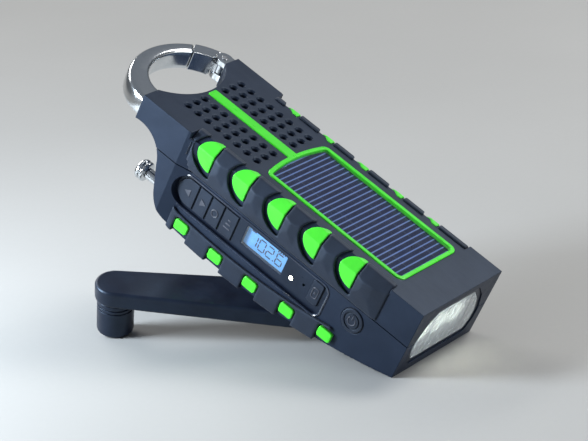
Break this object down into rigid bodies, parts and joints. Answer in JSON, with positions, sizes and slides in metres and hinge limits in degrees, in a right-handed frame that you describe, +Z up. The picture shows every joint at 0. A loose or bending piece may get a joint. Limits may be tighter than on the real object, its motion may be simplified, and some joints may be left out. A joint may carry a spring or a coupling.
{
  "type": "emergency radio",
  "caption": "Hand-held crank and solar emergency radio with rubber-armoured casing, carabiner bow, torch end, side control panel and telescopic antenna.",
  "frame": {"origin": "on the ground below the middle of the resting radio's bounding box", "axes": "+Z up; the radio leans back on its open crank knob, its length axis rises towards +Y, its front face looks up and towards -Y, and +X is to the right seen from the front"},
  "size_m": [0.0862, 0.1488, 0.1043],
  "materials": {
    "shell_plastic": "satin moulded plastic",
    "bumper_rubber": "soft-touch rubber",
    "green_rubber": "bright green rubber",
    "green_plastic": "bright green plastic",
    "solar": "dark blue cell with fine silver lines",
    "clear_window": "clear",
    "lcd_glass": "pale blue display",
    "chrome_metal": "polished",
    "steel_small": "plated steel",
    "reflector": "metallised",
    "led_resin": "clear resin",
    "panel_plastic": "satin dark",
    "button_rubber": "matte",
    "crank_plastic": "satin dark",
    "board": "circuit board",
    "gear_plastic": "acetal",
    "black_plastic": "plain",
    "ferrite": "sintered",
    "battery_wrap": "shrink wrap",
    "cloth": "woven",
    "brass_bush": "plain",
    "gasket_rubber": "soft"
  },
  "bodies": {
    "root": {"antenna_tube": "chrome_metal", "audio_jacks": "black_plastic", "battery_pack": "battery_wrap", "carabiner_bow": "chrome_metal", "control_board": "board", "control_panel": "panel_plastic", "crank_bush": "brass_bush", "ferrite_rod": "ferrite", "front_edge_pads": "green_rubber", "front_shell": "shell_plastic", "gate_bracket": "chrome_metal", "gate_pin": "steel_small", "gate_spring": "steel_small", "gearbox_plate": "black_plastic", "generator_body": "steel_small", "green_trim": "green_plastic", "lcd_module": "board", "lcd_window": "lcd_glass", "left_front_bumper": "bumper_rubber", "left_rear_bumper": "bumper_rubber", "main_board": "board", "rear_edge_pads": "green_rubber", "rear_shell": "shell_plastic", "right_front_bumper": "bumper_rubber", "right_rear_bumper": "bumper_rubber", "shell_gasket": "gasket_rubber", "shell_screws": "steel_small", "solar_cell": "solar", "solar_window": "clear_window", "speaker_basket": "steel_small", "speaker_cloth": "cloth", "speaker_cone": "black_plastic", "speaker_magnet": "ferrite", "status_light": "led_resin", "torch_bezel": "panel_plastic", "torch_board": "board", "torch_leds": "led_resin", "torch_lens": "clear_window", "torch_reflector": "reflector", "usb_socket": "steel_small"},
    "crank": {"crank_shaft": "steel_small", "drive_gear": "gear_plastic", "crank_hub": "crank_plastic", "hinge_pin": "steel_small"},
    "arm": {"crank_arm": "crank_plastic", "knob_screw": "steel_small"},
    "knob": {"crank_knob": "crank_plastic"},
    "idler": {"idler_gear": "gear_plastic"},
    "rotor": {"generator_rotor": "steel_small"},
    "gate": {"carabiner_gate": "chrome_metal"},
    "antenna_lower": {"antenna_section": "chrome_metal"},
    "antenna_upper": {"antenna_rod": "chrome_metal", "antenna_tip": "chrome_metal"},
    "cover": {"port_cover": "bumper_rubber"},
    "lamp_key": {"lamp_button": "button_rubber"},
    "power_key": {"power_button": "button_rubber"},
    "tune_up_key": {"tune_up_button": "button_rubber"},
    "tune_down_key": {"tune_down_button": "button_rubber"},
    "band_key": {"band_button": "button_rubber"},
    "volume_key": {"volume_button": "button_rubber"}
  },
  "joints": [
    {"name": "crank_spin", "type": "hinge", "parent": "root", "child": "crank", "pos_m": [0.01314, -0.0172, 0.008], "axis": [0, 0.4761, -0.8794], "continuous": true},
    {"name": "arm_fold", "type": "hinge", "parent": "crank", "child": "arm", "pos_m": [0.00861, -0.0114, 0.01114], "axis": [0.8241, 0.4981, 0.2697], "range_deg": [-162.2, 0]},
    {"name": "knob_spin", "type": "hinge", "parent": "arm", "child": "knob", "pos_m": [-0.03453, 0.05545, 0.01952], "axis": [0.1731, 0.2317, -0.9572], "continuous": true},
    {"name": "idler_spin", "type": "hinge", "parent": "root", "child": "idler", "pos_m": [0.01314, -0.00576, 0.03057], "axis": [0, 0.4761, -0.8794], "continuous": true},
    {"name": "rotor_spin", "type": "hinge", "parent": "root", "child": "rotor", "pos_m": [0.00424, 0.00581, 0.03911], "axis": [0, 0.4761, -0.8794], "continuous": true},
    {"name": "gate_swing", "type": "hinge", "parent": "root", "child": "gate", "pos_m": [0.03914, 0.05564, 0.0919], "axis": [0, -0.4761, 0.8794], "range_deg": [0, 25], "stiffness_Nm_per_rad": 0.02},
    {"name": "antenna_lower_slide", "type": "slide", "parent": "root", "child": "antenna_lower", "axis": [0, 0.8794, 0.4761], "range_m": [0, 0.05]},
    {"name": "antenna_upper_slide", "type": "slide", "parent": "antenna_lower", "child": "antenna_upper", "axis": [0, 0.8794, 0.4761], "range_m": [0, 0.05]},
    {"name": "port_cover_hinge", "type": "hinge", "parent": "root", "child": "cover", "pos_m": [0.04074, -0.00062, 0.03199], "axis": [0, 0.8794, 0.4761], "range_deg": [0, 110]},
    {"name": "lamp_press", "type": "slide", "parent": "root", "child": "lamp_key", "axis": [1, 0, 0], "range_m": [0, 0.0008], "stiffness_N_per_m": 900},
    {"name": "power_press", "type": "slide", "parent": "root", "child": "power_key", "axis": [1, 0, 0], "range_m": [0, 0.0008], "stiffness_N_per_m": 900},
    {"name": "tune_up_press", "type": "slide", "parent": "root", "child": "tune_up_key", "axis": [1, 0, 0], "range_m": [0, 0.0008], "stiffness_N_per_m": 900},
    {"name": "tune_down_press", "type": "slide", "parent": "root", "child": "tune_down_key", "axis": [1, 0, 0], "range_m": [0, 0.0008], "stiffness_N_per_m": 900},
    {"name": "band_press", "type": "slide", "parent": "root", "child": "band_key", "axis": [1, 0, 0], "range_m": [0, 0.0008], "stiffness_N_per_m": 900},
    {"name": "volume_press", "type": "slide", "parent": "root", "child": "volume_key", "axis": [1, 0, 0], "range_m": [0, 0.0008], "stiffness_N_per_m": 900}
  ],
  "couplings": [
    {"joint": "idler_spin", "follows": "crank_spin", "ratio": -3.3333},
    {"joint": "rotor_spin", "follows": "crank_spin", "ratio": 10.667}
  ]
}
